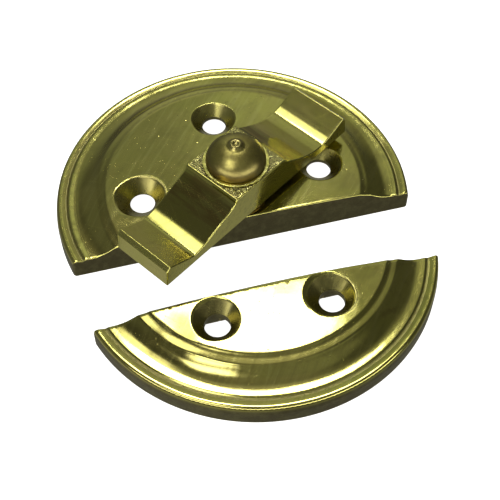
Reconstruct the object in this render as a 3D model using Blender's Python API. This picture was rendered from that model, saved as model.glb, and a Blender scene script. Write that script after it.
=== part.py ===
"""Window sash lock: a moulded half-round base with a two-winged turn button on a
domed rivet, and the matching keeper that the button closes over.

Frame: +Z up, Z = 0 is the mounting face of both plates.  The origin is the middle
of the outline box on that face.  The chord faces of the plates run along X; the
base is on the +Y side and the keeper on the -Y side.  Sizes are in millimetres
here and are turned into metres by MM.
"""
import math

import bmesh
import bpy
from mathutils import Matrix, Vector

MM = 0.001

# ---------------------------------------------------------------- driving sizes
# Round plates: both are cut from the same 54 mm moulded disc pattern.
DISC_R = 27.0            # outer radius of the moulded disc
BASE_CENTRE = (0.0, 5.5)     # disc centre of the base
KEEPER_CENTRE = (0.62, -5.5)  # disc centre of the keeper, lying open in front
BASE_CHORD = -7.2        # chord face, measured from the base's disc centre
KEEPER_CHORD = -8.20     # chord face, measured from the keeper's disc centre
CROWN_H = 6.03           # plate height at the disc centre
BASE_DROP = 0.56         # fall of the base's crowned field at CROWN_R
KEEPER_DROP = 0.74       # the same for the keeper
CROWN_R = 20.0
FIELD_R = 19.3           # edge of the crowned field, where the moulding starts
COVE_IN_R = 21.2         # the cove runs down from here ...
COVE_OUT_R = 24.7        # ... to here, almost flat at its foot
COVE_HIGH = 4.83
COVE_LOW = 3.60
COVE_CURVE = 2.25        # how fast the cove flattens out
BOTTOM_ROUND = 0.45      # softened lower edge of the rim

# Hollow back of the castings
RIM_IN_R = 23.6          # inside of the rim wall
STEP_IN_R = 20.4         # foot of the slope under the moulding
FIELD_IN_R = 18.2        # head of that slope
STEP_CEIL = 1.35         # ceiling under the moulding
BASE_CEIL = 3.5          # ceiling under the base's field
KEEPER_CEIL = 2.95       # ceiling under the keeper's field
BASE_WALL = 1.7          # wall along the base's chord face
KEEPER_WALL = 0.95       # wall along the keeper's chord face

# Screw holes, for No. 6 countersunk wood screws: x, y from the disc centre, then
# the countersink's diameter and how far its centre is off the hole's centre.
HOLE_D = 3.75
BASE_HOLES = [(-13.85, 1.0, 7.8, -0.5, -0.25), (13.8, 0.45, 7.0, 0.15, -0.2),
              (0.3, 13.4, 7.1, -0.1, 0.0)]
KEEPER_HOLES = [(-8.75, -12.2, 7.0, -0.32, 0.05), (7.92, -12.3, 7.3, -0.34, 0.05)]

# Turn button
PIVOT_FROM_CHORD = 5.05  # pivot axis behind the base's chord face
TURN_REST = 33.0         # degrees from parallel with the chord
LEVER_HALF_W = 5.0
LEVER_UNDER = 7.0        # height of its flat underside
LEVER_HALF_L = 18.72     # to the upper edge of each tip
TIP_CHAMFER = 0.88       # how far the tip stands out past that edge
BOSS_HALF = 5.2
BOSS_TOP = 12.7
TIP_TOP = 10.55
VALLEY_TOP = 8.68        # left wing; the right one was dressed a little deeper
VALLEY_RIGHT = 8.60
SWEEP_LEFT, SWEEP_RIGHT = 1.62, 1.90
LEVER_BORE_D = 5.3

# Rivet stack on the pivot axis
GAP = 0.06               # running gap between stacked faces
HEAD_WASHER_OD = 9.8
HEAD_WASHER_T = 0.3
DOME_R = 4.4
DOME_APEX = 16.45
NUB_R = 0.95
NUB_H = 0.32
SHANK_D = 5.0
TENON_D = 3.5
BASE_BORE_D = 3.8
BACK_WASHER_OD = 6.0
BACK_WASHER_T = 0.7
TAIL_D = 5.2
TAIL_H = 0.9
WAVE_ID = 5.5
WAVE_OD = 9.3
WAVE_T = 0.35
WAVE_COUNT = 3

DISC_SEGS = 84
HOLE_SEGS = 28
ROUND_SEGS = 36

PIVOT = (BASE_CENTRE[0], BASE_CENTRE[1] + BASE_CHORD + PIVOT_FROM_CHORD)


# ---------------------------------------------------------------- small helpers
def clear_scene():
    for obj in list(bpy.data.objects):
        bpy.data.objects.remove(obj, do_unlink=True)
    for mesh in list(bpy.data.meshes):
        bpy.data.meshes.remove(mesh)


def brass(name, colour, roughness, metallic=1.0):
    mat = bpy.data.materials.new(name)
    mat.use_nodes = True
    bsdf = mat.node_tree.nodes["Principled BSDF"]
    bsdf.inputs["Base Color"].default_value = (*colour, 1.0)
    bsdf.inputs["Roughness"].default_value = roughness
    bsdf.inputs["Metallic"].default_value = metallic
    mat.diffuse_color = (*colour, 1.0)
    return mat


def place(name, bm, location=(0, 0, 0), turn=0.0, mat=None):
    """Make a named object of a bmesh drawn in millimetres."""
    bmesh.ops.recalc_face_normals(bm, faces=bm.faces[:])
    for v in bm.verts:
        v.co *= MM
    mesh = bpy.data.meshes.new(name)
    bm.to_mesh(mesh)
    bm.free()
    mesh.shade_smooth()
    mesh.set_sharp_from_angle(angle=math.radians(28))
    obj = bpy.data.objects.new(name, mesh)
    bpy.context.scene.collection.objects.link(obj)
    obj.location = Vector(location) * MM
    obj.rotation_euler = (0.0, 0.0, math.radians(turn))
    if mat is not None:
        mesh.materials.append(mat)
    return obj


def lathe(profile, segs, centre=(0.0, 0.0)):
    """Solid of revolution about Z from (radius, z) points; both ends on the axis
    make a plain solid, and a profile that returns to its start makes a ring."""
    bm = bmesh.new()
    rings = []
    for r, z in profile:
        if r < 1e-9:
            rings.append([bm.verts.new((centre[0], centre[1], z))])
        else:
            rings.append([bm.verts.new((centre[0] + r * math.cos(2 * math.pi * k / segs),
                                        centre[1] + r * math.sin(2 * math.pi * k / segs), z))
                          for k in range(segs)])
    closed = len(rings[0]) > 1 and len(rings[-1]) > 1
    pairs = list(zip(rings, rings[1:])) + ([(rings[-1], rings[0])] if closed else [])
    for a, b in pairs:
        for k in range(segs):
            k2 = (k + 1) % segs
            if len(a) == 1 and len(b) > 1:
                bm.faces.new((a[0], b[k], b[k2]))
            elif len(b) == 1 and len(a) > 1:
                bm.faces.new((a[k], b[0], a[k2]))
            elif len(a) > 1 and len(b) > 1:
                bm.faces.new((a[k], b[k], b[k2], a[k2]))
    return bm


def stack_rings(levels, segs):
    """Closed solid through level circles given as (radius, z, centre x, centre y)."""
    bm = bmesh.new()
    rings = [[bm.verts.new((cx + r * math.cos(2 * math.pi * (k + 0.5) / segs),
                            cy + r * math.sin(2 * math.pi * (k + 0.5) / segs), z))
              for k in range(segs)] for r, z, cx, cy in levels]
    for a, b in zip(rings, rings[1:]):
        for k in range(segs):
            bm.faces.new((a[k], a[(k + 1) % segs], b[(k + 1) % segs], b[k]))
    bm.faces.new(list(reversed(rings[0])))
    bm.faces.new(rings[-1])
    return bm


def cut_flat(bm, y, keep_above):
    """Cut a solid on the plane Y = y and close the cut with one flat face."""
    geom = bm.verts[:] + bm.edges[:] + bm.faces[:]
    res = bmesh.ops.bisect_plane(bm, geom=geom, dist=1e-5, plane_co=(0, y, 0),
                                 plane_no=(0, 1, 0), clear_inner=keep_above,
                                 clear_outer=not keep_above)
    edges = [e for e in res["geom_cut"] if isinstance(e, bmesh.types.BMEdge)]
    bmesh.ops.edgeloop_fill(bm, edges=edges)
    return bm


def cutter(name, bm, location=(0, 0, 0)):
    obj = place(name, bm, location)
    obj.hide_render = True
    obj.display_type = "WIRE"
    return obj


def subtract(obj, tool, solver="EXACT"):
    mod = obj.modifiers.new("cut_" + tool.name, "BOOLEAN")
    mod.operation = "DIFFERENCE"
    mod.solver = solver
    mod.object = tool


# ---------------------------------------------------------------- plate shapes
def field_height(r, drop):
    """Top of the crowned field at radius r."""
    return CROWN_H - drop * (r / CROWN_R) ** 2


def rim_profile(drop):
    """Outer skin from the disc centre over the moulding to the mounting face."""
    pts = [(0.0, field_height(0.0, drop))]
    pts += [(FIELD_R * f, field_height(FIELD_R * f, drop)) for f in (0.3, 0.55, 0.78, 1.0)]
    # quirk, then the fillet bead
    pts += [(19.62, 5.08), (19.95, 5.14), (20.25, 5.17), (20.70, 5.05)]
    # cove, steep at its head and almost flat at its foot
    span = COVE_OUT_R - COVE_IN_R
    for t in (0.0, 0.12, 0.25, 0.4, 0.58, 0.78, 1.0):
        pts.append((COVE_IN_R + span * t,
                    COVE_LOW + (COVE_HIGH - COVE_LOW) * (1.0 - t) ** COVE_CURVE))
    # groove, then the outer bead that rolls over into the side
    pts += [(24.95, 3.42), (25.10, 3.36), (25.30, 3.42)]
    pts += [(25.60, 3.57), (25.85, 3.61), (26.10, 3.50), (26.40, 3.16), (26.80, 2.60)]
    pts += [(DISC_R, 2.22), (DISC_R, BOTTOM_ROUND),
            (DISC_R - 0.3 * BOTTOM_ROUND, 0.3 * BOTTOM_ROUND), (DISC_R - BOTTOM_ROUND, 0.0),
            (0.0, 0.0)]
    return pts


def back_profile(ceil):
    """Hollow under the plate, drawn down past the mounting face."""
    return [(0.0, ceil), (FIELD_IN_R, ceil), (STEP_IN_R, STEP_CEIL),
            (RIM_IN_R - 0.4, STEP_CEIL), (RIM_IN_R, STEP_CEIL - 0.4), (RIM_IN_R, -1.0),
            (0.0, -1.0)]


def make_plate(name, centre, chord, keep_above, drop, ceil, chord_wall, holes, mat):
    body = place(name, cut_flat(lathe(rim_profile(drop), DISC_SEGS), chord, keep_above),
                 (*centre, 0.0), mat=mat)
    wall = chord + (chord_wall if keep_above else -chord_wall)
    hollow = cut_flat(lathe(back_profile(ceil), DISC_SEGS), wall, keep_above)
    subtract(body, cutter(name + "_hollow", hollow, (*centre, 0.0)), "MANIFOLD")
    for i, (x, y, sink_d, dx, dy) in enumerate(holes, 1):
        top = field_height(math.hypot(x, y), drop)
        land = top - (sink_d - HOLE_D) / 2          # 90 degree countersink
        drill = stack_rings([(HOLE_D / 2, -2.0, 0, 0), (HOLE_D / 2, land, 0, 0),
                             (sink_d / 2, top, dx, dy), (sink_d / 2 + 1.0, top + 1.0, dx, dy)],
                            HOLE_SEGS)
        subtract(body, cutter(f"{name}_drill_{i}", drill, (centre[0] + x, centre[1] + y, 0.0)),
                 "MANIFOLD")
    return body


# ---------------------------------------------------------------- turn button
def wing_profile(sweep, valley):
    """One half of the button's side outline, from boss edge to tip underside.
    sweep is how fast the concave side falls away from the boss."""
    pts = [(BOSS_HALF, BOSS_TOP), (BOSS_HALF + 0.06, BOSS_TOP - 0.32)]
    # concave sweep down to the valley
    s0, z0, s1, z1 = BOSS_HALF + 0.06, BOSS_TOP - 0.32, 13.1, valley
    for k in range(1, 11):
        t = k / 10
        fall = 1.0 - (1.0 - t) ** sweep
        pts.append((s0 + (s1 - s0) * t, z0 + (z1 - z0) * fall))
    pts.append((14.1, valley + 0.03))
    # finger pad rising to the tip
    for k in range(1, 7):
        t = k / 6
        pts.append((14.1 + (LEVER_HALF_L - 14.1) * t,
                    valley + 0.03 + (TIP_TOP - valley - 0.03) * t ** 1.18))
    tip = LEVER_HALF_L + TIP_CHAMFER
    pts += [(tip, TIP_TOP - 0.22), (tip, LEVER_UNDER)]
    return pts


def make_lever(mat):
    right, left = wing_profile(SWEEP_RIGHT, VALLEY_RIGHT), wing_profile(SWEEP_LEFT, VALLEY_TOP)
    outline = right + [(-s, z) for s, z in reversed(left)]
    bm = bmesh.new()
    front = [bm.verts.new((s, -LEVER_HALF_W, z)) for s, z in outline]
    back = [bm.verts.new((s, LEVER_HALF_W, z)) for s, z in outline]
    n = len(outline)
    bm.faces.new(front)
    bm.faces.new(list(reversed(back)))
    for k in range(n):
        bm.faces.new((front[k], back[k], back[(k + 1) % n], front[(k + 1) % n]))
    lever = place("turn_lever", bm, (*PIVOT, 0.0), TURN_REST, mat)
    bore = lathe([(0.0, BOSS_TOP + 1), (LEVER_BORE_D / 2, BOSS_TOP + 1),
                  (LEVER_BORE_D / 2, LEVER_UNDER - 1), (0.0, LEVER_UNDER - 1)], ROUND_SEGS)
    subtract(lever, cutter("turn_lever_bore", bore, (*PIVOT, 0.0)))
    return lever


# ---------------------------------------------------------------- pivot pieces
def make_rivet(mat):
    seat = BOSS_TOP + GAP + HEAD_WASHER_T + GAP      # underside of the domed head
    foot = field_height(PIVOT_FROM_CHORD + BASE_CHORD, BASE_DROP) + GAP  # shoulder on the plate
    washer_top = BASE_CEIL - GAP
    tail_top = washer_top - BACK_WASHER_T - GAP
    pts = [(0.0, DOME_APEX + NUB_H - 0.14), (0.30, DOME_APEX + NUB_H - 0.10),
           (0.46, DOME_APEX + NUB_H), (0.72, DOME_APEX + NUB_H), (NUB_R, DOME_APEX + NUB_H - 0.14),
           (NUB_R + 0.10, DOME_APEX - 0.10)]
    rise = DOME_APEX - seat - 0.12
    for deg in (74, 66, 57, 47, 37, 26, 14, 0):
        a = math.radians(deg)
        pts.append((DOME_R * math.cos(a), seat + 0.12 + rise * math.sin(a)))
    pts += [(DOME_R - 0.1, seat), (SHANK_D / 2, seat), (SHANK_D / 2, foot), (TENON_D / 2, foot),
            (TENON_D / 2, tail_top), (TAIL_D / 2 - 0.1, tail_top), (TAIL_D / 2, tail_top - 0.25),
            (TAIL_D / 2 - 0.6, tail_top - TAIL_H + 0.12), (TAIL_D / 2 - 1.3, tail_top - TAIL_H),
            (0.0, tail_top - TAIL_H)]
    return place("pivot_rivet", lathe(pts, ROUND_SEGS), (*PIVOT, 0.0), mat=mat)


def flat_ring(bore, outer, z0, z1, edge):
    return lathe([(bore / 2, z1 - edge), (bore / 2 + edge, z1), (outer / 2 - edge, z1),
                  (outer / 2, z1 - edge), (outer / 2, z0), (bore / 2, z0)], ROUND_SEGS)


def make_wave_spring(mat):
    """Three-wave spring ring that presses the button up against its rivet."""
    low = field_height(PIVOT_FROM_CHORD + BASE_CHORD, BASE_DROP) + GAP
    high = LEVER_UNDER - GAP
    mid, swing = (low + high) / 2, (high - low - WAVE_T) / 2
    bm = bmesh.new()
    segs = 54
    rows = []
    for k in range(segs):
        a = 2 * math.pi * k / segs
        lift = mid + swing * math.cos(WAVE_COUNT * a)
        row = []
        for r, dz in ((WAVE_ID / 2, 0.5), (WAVE_OD / 2, 0.5), (WAVE_OD / 2, -0.5), (WAVE_ID / 2, -0.5)):
            row.append(bm.verts.new((r * math.cos(a), r * math.sin(a), lift + dz * WAVE_T)))
        rows.append(row)
    for k in range(segs):
        a, b = rows[k], rows[(k + 1) % segs]
        for j in range(4):
            bm.faces.new((a[j], b[j], b[(j + 1) % 4], a[(j + 1) % 4]))
    return place("wave_spring", bm, (*PIVOT, 0.0), mat=mat)


def main():
    clear_scene()
    cast = brass("cast_brass", (0.50, 0.46, 0.18), 0.22)
    button = brass("button_brass", (0.50, 0.46, 0.17), 0.18)
    aged = brass("rivet_brass", (0.36, 0.31, 0.14), 0.42)
    bronze = brass("spring_bronze", (0.45, 0.33, 0.18), 0.35)

    base = make_plate("base_plate", BASE_CENTRE, BASE_CHORD, True, BASE_DROP, BASE_CEIL,
                      BASE_WALL, BASE_HOLES, cast)
    pin_hole = lathe([(0.0, CROWN_H + 1), (BASE_BORE_D / 2, CROWN_H + 1), (BASE_BORE_D / 2, -1.0),
                      (0.0, -1.0)], HOLE_SEGS)
    subtract(base, cutter("base_plate_pivot_hole", pin_hole, (*PIVOT, 0.0)), "MANIFOLD")
    make_plate("keeper_plate", KEEPER_CENTRE, KEEPER_CHORD, False, KEEPER_DROP, KEEPER_CEIL,
               KEEPER_WALL, KEEPER_HOLES, cast)

    make_lever(button)
    make_rivet(aged)
    z0 = BOSS_TOP + GAP
    place("head_washer", flat_ring(SHANK_D + 0.3, HEAD_WASHER_OD, z0, z0 + HEAD_WASHER_T, 0.06),
          (*PIVOT, 0.0), mat=button)
    make_wave_spring(bronze)
    z1 = BASE_CEIL - GAP
    place("back_washer", flat_ring(TENON_D + 0.3, BACK_WASHER_OD, z1 - BACK_WASHER_T, z1, 0.1),
          (*PIVOT, 0.0), mat=aged)


main()
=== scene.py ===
"""Looks of the brass sash lock: fine surfaces, brass finishes, floor, light and camera.

Lengths in the drawing code are millimetres in the part's frame; MM turns them into metres.
"""
import math

import bpy
import numpy as np
from mathutils import Matrix, Vector, geometry


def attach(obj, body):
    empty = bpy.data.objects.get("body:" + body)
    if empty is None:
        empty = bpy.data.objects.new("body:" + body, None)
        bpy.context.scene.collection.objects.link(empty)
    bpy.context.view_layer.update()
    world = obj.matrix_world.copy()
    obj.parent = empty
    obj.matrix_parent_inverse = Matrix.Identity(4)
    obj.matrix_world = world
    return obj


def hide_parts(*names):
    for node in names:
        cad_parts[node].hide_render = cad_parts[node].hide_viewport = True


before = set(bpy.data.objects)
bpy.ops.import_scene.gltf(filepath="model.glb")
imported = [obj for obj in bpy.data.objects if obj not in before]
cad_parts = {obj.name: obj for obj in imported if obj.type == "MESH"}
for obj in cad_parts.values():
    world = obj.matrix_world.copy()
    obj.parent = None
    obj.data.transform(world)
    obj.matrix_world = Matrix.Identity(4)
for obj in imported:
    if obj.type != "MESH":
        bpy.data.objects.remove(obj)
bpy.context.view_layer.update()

MM = 0.001

# ------------------------------------------------------------------ sizes, as in the part
DISC_R = 27.0
BASE_CENTRE = (0.0, 5.5)
KEEPER_CENTRE = (0.62, -5.5)
BASE_CHORD, KEEPER_CHORD = -7.2, -8.20
CROWN_H, CROWN_DROP, KEEPER_DROP, CROWN_R, FIELD_R = 6.03, 0.56, 0.74, 20.0, 19.3
RIM_IN_R, STEP_IN_R, FIELD_IN_R = 23.6, 20.4, 18.2
STEP_CEIL, BASE_CEIL, KEEPER_CEIL, BASE_WALL, KEEPER_WALL = 1.35, 3.5, 2.95, 1.7, 0.95
HOLE_R = 1.875
BASE_HOLES = [(-13.85, 1.0, 7.8, -0.5, -0.25), (13.8, 0.45, 7.0, 0.15, -0.2),
              (0.3, 13.4, 7.1, -0.1, 0.0)]
KEEPER_HOLES = [(-8.75, -12.2, 7.0, -0.32, 0.05), (7.92, -12.3, 7.3, -0.34, 0.05)]
PIVOT = (0.0, 3.35)
TURN = math.radians(33.0)
LEVER_W, LEVER_UNDER, LEVER_L, TIP = 5.0, 7.0, 18.72, 0.88
BOSS, BOSS_TOP, TIP_TOP, VALLEY_TOP, LEVER_BORE_R = 5.2, 12.7, 10.55, 8.68, 2.65
GAP = 0.06
WASHER_R, WASHER_T = 4.9, 0.3
DOME_R, DOME_APEX, NUB_R, NUB_H = 4.4, 16.45, 0.95, 0.32
SHANK_R, TENON_R, BASE_BORE_R = 2.5, 1.75, 1.9
BACK_WASHER_R, BACK_WASHER_T, TAIL_R, TAIL_H = 3.0, 0.7, 2.6, 0.9
WAVE_IN, WAVE_OUT, WAVE_T, WAVE_COUNT = 2.75, 4.65, 0.35, 3


# ------------------------------------------------------------------ mesh from patches
class Build:
    """Collects surface patches that share their border points and welds them."""

    def __init__(self):
        self.co, self.no, self.faces, self.n = [], [], [], 0

    def patch(self, co, no, faces):
        co = np.asarray(co, float)
        no = np.asarray(no, float)
        no = no / np.maximum(np.linalg.norm(no, axis=1, keepdims=True), 1e-12)
        self.co.append(co)
        self.no.append(no)
        self.faces += [tuple(i + self.n for i in f) for f in faces]
        self.n += len(co)

    def grid(self, co, no, close_u=False, close_v=False, flip=False):
        """co and no are (rows, columns, 3)."""
        co, no = np.asarray(co, float), np.asarray(no, float)
        r, c = co.shape[:2]
        faces = []
        for i in range(r if close_u else r - 1):
            i2 = (i + 1) % r
            for j in range(c if close_v else c - 1):
                j2 = (j + 1) % c
                f = (i * c + j, i * c + j2, i2 * c + j2, i2 * c + j)
                faces.append(f[::-1] if flip else f)
        self.patch(co.reshape(-1, 3), no.reshape(-1, 3), faces)

    def finish(self, name, material, body, node, tol=2e-4):
        co, no = np.concatenate(self.co), np.concatenate(self.no)
        key = np.round(co / tol).astype(np.int64)
        _, first, inv = np.unique(key, axis=0, return_index=True, return_inverse=True)
        inv = inv.reshape(-1)
        faces, loop_no = [], []
        for f in self.faces:
            g = [int(inv[i]) for i in f]
            keep = [k for k in range(len(g)) if g[k] != g[k - 1]]
            if len(keep) < 3 or len({g[k] for k in keep}) != len(keep):
                continue
            faces.append([g[k] for k in keep])
            loop_no += [no[f[k]] for k in keep]
        mesh = bpy.data.meshes.new(name)
        mesh.from_pydata([tuple(v) for v in co[first] * MM], [], faces)
        mesh.shade_smooth()
        mesh.normals_split_custom_set([tuple(v) for v in loop_no])
        mesh.materials.append(material)
        obj = bpy.data.objects.new(name, mesh)
        bpy.context.scene.collection.objects.link(obj)
        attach(obj, body)
        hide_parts(node)
        return obj


def fillet(points, radii, step=8.0, closed=False):
    """Round the corners of a 2-D polyline.  Returns points and the normals to the
    right of travel; every corner gets an arc, so one normal per point is enough."""
    p = [Vector(q) for q in points]
    n = len(p)
    out, nor = [], []

    def right(d):
        d = d.normalized()
        return Vector((d.y, -d.x))

    for i in range(n):
        if not closed and i in (0, n - 1):
            d = p[1] - p[0] if i == 0 else p[-1] - p[-2]
            out.append(p[i])
            nor.append(right(d))
            continue
        a, b, c = p[i - 1], p[i], p[(i + 1) % n]
        u, v = (b - a).normalized(), (c - b).normalized()
        turn = math.atan2(u.x * v.y - u.y * v.x, u.dot(v))
        if abs(turn) < math.radians(1.0):
            out.append(b)
            nor.append(right(u + v))
            continue
        r = radii[i]
        cut = r * math.tan(abs(turn) / 2)
        room = 0.49 * min((b - a).length, (c - b).length)
        if cut > room:
            r, cut = r * room / cut, room
        start = b - u * cut
        side = Vector((-u.y, u.x)) * (1 if turn > 0 else -1)
        centre = start + side * r
        k = max(2, int(math.ceil(abs(math.degrees(turn)) / step)))
        for j in range(k + 1):
            a_j = turn * j / k
            rot = Matrix.Rotation(a_j, 2)
            out.append(centre + rot @ (start - centre))
            nor.append(right(rot @ u))
    return np.array([tuple(q) for q in out]), np.array([tuple(q) for q in nor])


def smooth_min(a, b, k):
    h = np.clip(0.5 + 0.5 * (b - a) / k, 0.0, 1.0)
    return b * (1 - h) + a * h - k * h * (1 - h)


# ------------------------------------------------------------------ plates
def rim_table(drop, keeper):
    """Height of the plate against radius, eased by a short blur that is longer where
    the field was buffed into the cove."""
    field = lambda r: CROWN_H - drop * (r / CROWN_R) ** 2
    pts = [(r, field(r)) for r in np.linspace(0, FIELD_R, 60)]
    # edge of the field and the worn fillet at the head of the cove
    if keeper:
        pts += [(19.46, 5.255), (19.62, 5.185), (19.80, 5.125), (19.98, 5.085), (20.16, 5.065), (20.34, 5.040),
                (20.52, 5.015), (20.70, 4.990), (20.84, 4.955), (20.98, 4.900)]
    else:
        pts += [(19.50, 5.430), (19.70, 5.335), (19.90, 5.265), (20.10, 5.215), (20.30, 5.170), (20.50, 5.115),
                (20.70, 5.050), (20.84, 4.990), (20.98, 4.915)]
    # cove, running out almost flat
    for r in np.arange(21.15, 23.9, 0.1):
        pts.append((r, 3.60 + 1.28 * ((24.72 - r) / 3.72) ** 2.25 + 0.012))
    if keeper:
        # shoulder falls gently, then a shallow groove
        pts += [(24.00, 3.652), (24.12, 3.644), (24.26, 3.640), (24.40, 3.636), (24.55, 3.631), (24.70, 3.625),
                (24.84, 3.618), (24.93, 3.600), (25.02, 3.545), (25.10, 3.480), (25.18, 3.435), (25.28, 3.420),
                (25.40, 3.440)]
    else:
        # shoulder lifts a little before its groove
        pts += [(24.00, 3.630), (24.15, 3.632), (24.30, 3.643), (24.45, 3.660), (24.60, 3.680), (24.74, 3.697),
                (24.86, 3.706), (24.96, 3.700), (25.05, 3.655), (25.14, 3.565), (25.24, 3.470), (25.34, 3.425),
                (25.44, 3.420)]
    # outer bead
    pts += [(25.60, 3.474), (25.76, 3.516), (25.92, 3.558), (26.06, 3.590), (26.18, 3.607), (26.30, 3.612),
            (26.42, 3.609), (26.53, 3.588), (26.64, 3.520), (26.74, 3.400), (26.83, 3.220), (26.90, 3.000),
            (26.96, 2.680), (27.00, 2.200), (27.3, 1.3)]
    pts = np.array(pts)
    r = np.arange(0.0, 27.3, 0.01)
    z = np.interp(r, pts[:, 0], pts[:, 1])

    def blur(soft):
        half = int(soft * 3 / 0.01)
        k = np.exp(-0.5 * (np.arange(-half, half + 1) * 0.01 / soft) ** 2)
        padded = np.concatenate([z[half:0:-1], z, np.full(half, z[-1])])
        return np.convolve(padded, k / k.sum(), "valid")

    fine, wide = blur(0.055), blur(0.11 if keeper else 0.24)
    share = np.clip((22.8 - r) / 1.0, 0, 1)
    return r, fine * (1 - share) + wide * share


RIM_SEGS = 480
HOLE_SEGS = 96
MOULD_R = np.concatenate([np.arange(FIELD_R - 0.3, 21.3, 0.09), np.arange(21.3, 24.1, 0.16),
                          np.arange(24.1, 25.6, 0.075), np.arange(25.6, 26.8, 0.09)])
EDGE = 0.16          # easing of the plate's chord edges
UNDER_EDGE = 0.22    # easing at the mounting face


class Plate:
    def __init__(self, centre, chord, above, ceil, drop, wall, corner, roll, dish, holes, pin, seed):
        self.c, self.chord, self.s, self.ceil = centre, chord, (1 if above else -1), ceil
        self.wall, self.corner = wall, corner       # corner: plan rounding where chord and rim meet
        self.drop = drop
        self.roll = roll            # depth and width of the polished fall towards the chord
        self.rim_r, self.rim_z = rim_table(drop, not above)
        self.dish = dish            # shallow hollows left by the buff: x, y, spread, depth
        self.holes, self.pin = holes, pin
        rng = np.random.default_rng(seed)
        self.waves = [(rng.uniform(0, math.pi), rng.uniform(3.5, 12.0), rng.uniform(0, 6.28))
                      for _ in range(9)]

    # distance inside the plan outline, corners rounded
    def inset(self, x, y):
        a = DISC_R - np.hypot(x, y)
        b = (y - self.chord) * self.s
        ca, cb = np.maximum(self.corner - a, 0), np.maximum(self.corner - b, 0)
        both = (ca > 0) & (cb > 0)
        return np.where(both, self.corner - np.hypot(ca, cb), np.minimum(a, b))

    def ripple(self, x, y):
        z = 0.0
        for ang, wave, ph in self.waves:
            z = z + 0.00045 * wave * np.sin(2 * math.pi * (x * math.cos(ang) + y * math.sin(ang)) / wave + ph)
        return z

    def cone(self, x, y, hole):
        hx, hy, sink, dx, dy = hole
        top = CROWN_H - self.drop * (hx * hx + hy * hy) / CROWN_R ** 2
        r1 = sink / 2
        land = top - (r1 - HOLE_R)
        px, py = x - hx, y - hy
        ang = np.arctan2(py, px)
        grow = 1 + 0.012 * np.sin(3 * ang + hx) + 0.008 * np.sin(5 * ang + hy)
        dr = r1 - HOLE_R
        a = dx * dx + dy * dy - dr * dr
        b = -2 * (px * dx + py * dy + HOLE_R * dr)
        c = px * px + py * py - HOLE_R ** 2
        c = c / grow ** 2
        disc = np.maximum(b * b - 4 * a * c, 0)
        t = (-b - np.sqrt(disc)) / (2 * a)
        return land + t * dr

    def top(self, x, y):
        r = np.hypot(x, y)
        z = np.interp(r, self.rim_r, self.rim_z) + self.ripple(x, y)
        d = np.clip(1 - (y - self.chord) * self.s / self.roll[1], 0, 1)
        z = z - self.roll[0] * d * d
        for dx, dy, spread, deep in self.dish:
            z = z - deep * np.exp(-0.5 * ((x - dx) ** 2 + (y - dy) ** 2) / spread ** 2)
        for h in self.holes:
            near = np.hypot(x - h[0], y - h[1]) < h[2] / 2 + 2.5
            if np.any(near):
                z = np.where(near, smooth_min(z, self.cone(x, y, h), 0.16), z)
        return z

    def under(self, x, y):
        r = np.hypot(x, y)
        d = (y - self.chord) * self.s
        z = np.interp(r, [0, FIELD_IN_R - 0.5, FIELD_IN_R, STEP_IN_R, STEP_IN_R + 0.5, RIM_IN_R - 0.55,
                          RIM_IN_R - 0.1, RIM_IN_R, 30],
                      [self.ceil, self.ceil, self.ceil - 0.15, STEP_CEIL + 0.15, STEP_CEIL, STEP_CEIL,
                       STEP_CEIL - 0.4, 0.0, 0.0])
        d = d - self.wall
        wall = np.interp(d, [-9, 0.0, 0.22, 0.9], [0, 0, 2.4, 5.4])
        return np.maximum(smooth_min(z, wall, 0.25) + 0.0, 0.0)

    def outline(self):
        """Border points, anticlockwise seen from above, closely spaced on the moulding."""
        c, s, corner_r = self.chord, self.s, self.corner
        # chord, from one corner to the other
        marks = sorted(set(np.round(np.concatenate([np.arange(0, 19.3, 0.42), MOULD_R]), 4)))
        xs = [math.sqrt(r * r - c * c) for r in marks if r > abs(c) + 1e-6]
        xs = [x for x in xs if x < math.sqrt((DISC_R - corner_r) ** 2 - c * c) - 0.25]
        dense = [0.0]
        for x in xs:
            while x - dense[-1] > 0.5:
                dense.append(dense[-1] + 0.42)
            if x - dense[-1] > 0.03:
                dense.append(x)
        line = [(-x, c) for x in reversed(dense[1:])] + [(x, c) for x in dense]
        # corner at +X
        corner = []
        for k in range(0, 7):
            f = math.radians(90 - 15 * k)
            a, b = corner_r * (1 - math.cos(f)), corner_r * (1 - math.sin(f))
            y = c + s * b
            corner.append((math.sqrt((DISC_R - a) ** 2 - y * y), y))
        a0 = math.atan2(corner[-1][1], corner[-1][0])
        pitch = 2 * math.pi / RIM_SEGS
        if s > 0:
            ks = range(int(math.floor(a0 / pitch)) + 1, RIM_SEGS)
            arc = [k * pitch for k in ks if a0 + 0.3 * pitch < k * pitch < math.pi - a0 - 0.3 * pitch]
            pts = line + corner + [(DISC_R * math.cos(t), DISC_R * math.sin(t)) for t in arc] \
                + [(-x, y) for x, y in reversed(corner)]
        else:
            arc = [-k * pitch for k in range(0, RIM_SEGS)
                   if a0 - 0.3 * pitch > -k * pitch > -math.pi - a0 + 0.3 * pitch]
            ring = line + corner + [(DISC_R * math.cos(t), DISC_R * math.sin(t)) for t in arc] \
                + [(-x, y) for x, y in reversed(corner)]
            pts = ring[::-1]
        return np.array(pts).astype(np.float32).astype(float)

    def circle(self, cx, cy, r, n):
        t = 2 * math.pi * np.arange(n) / n
        c = np.stack([cx + r * np.cos(t), cy + r * np.sin(t)], 1)
        return c.astype(np.float32).astype(float)

    def bores(self):
        out = [(h[0], h[1], HOLE_R) for h in self.holes]
        return out + ([(self.pin[0], self.pin[1], BASE_BORE_R)] if self.pin else [])

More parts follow.
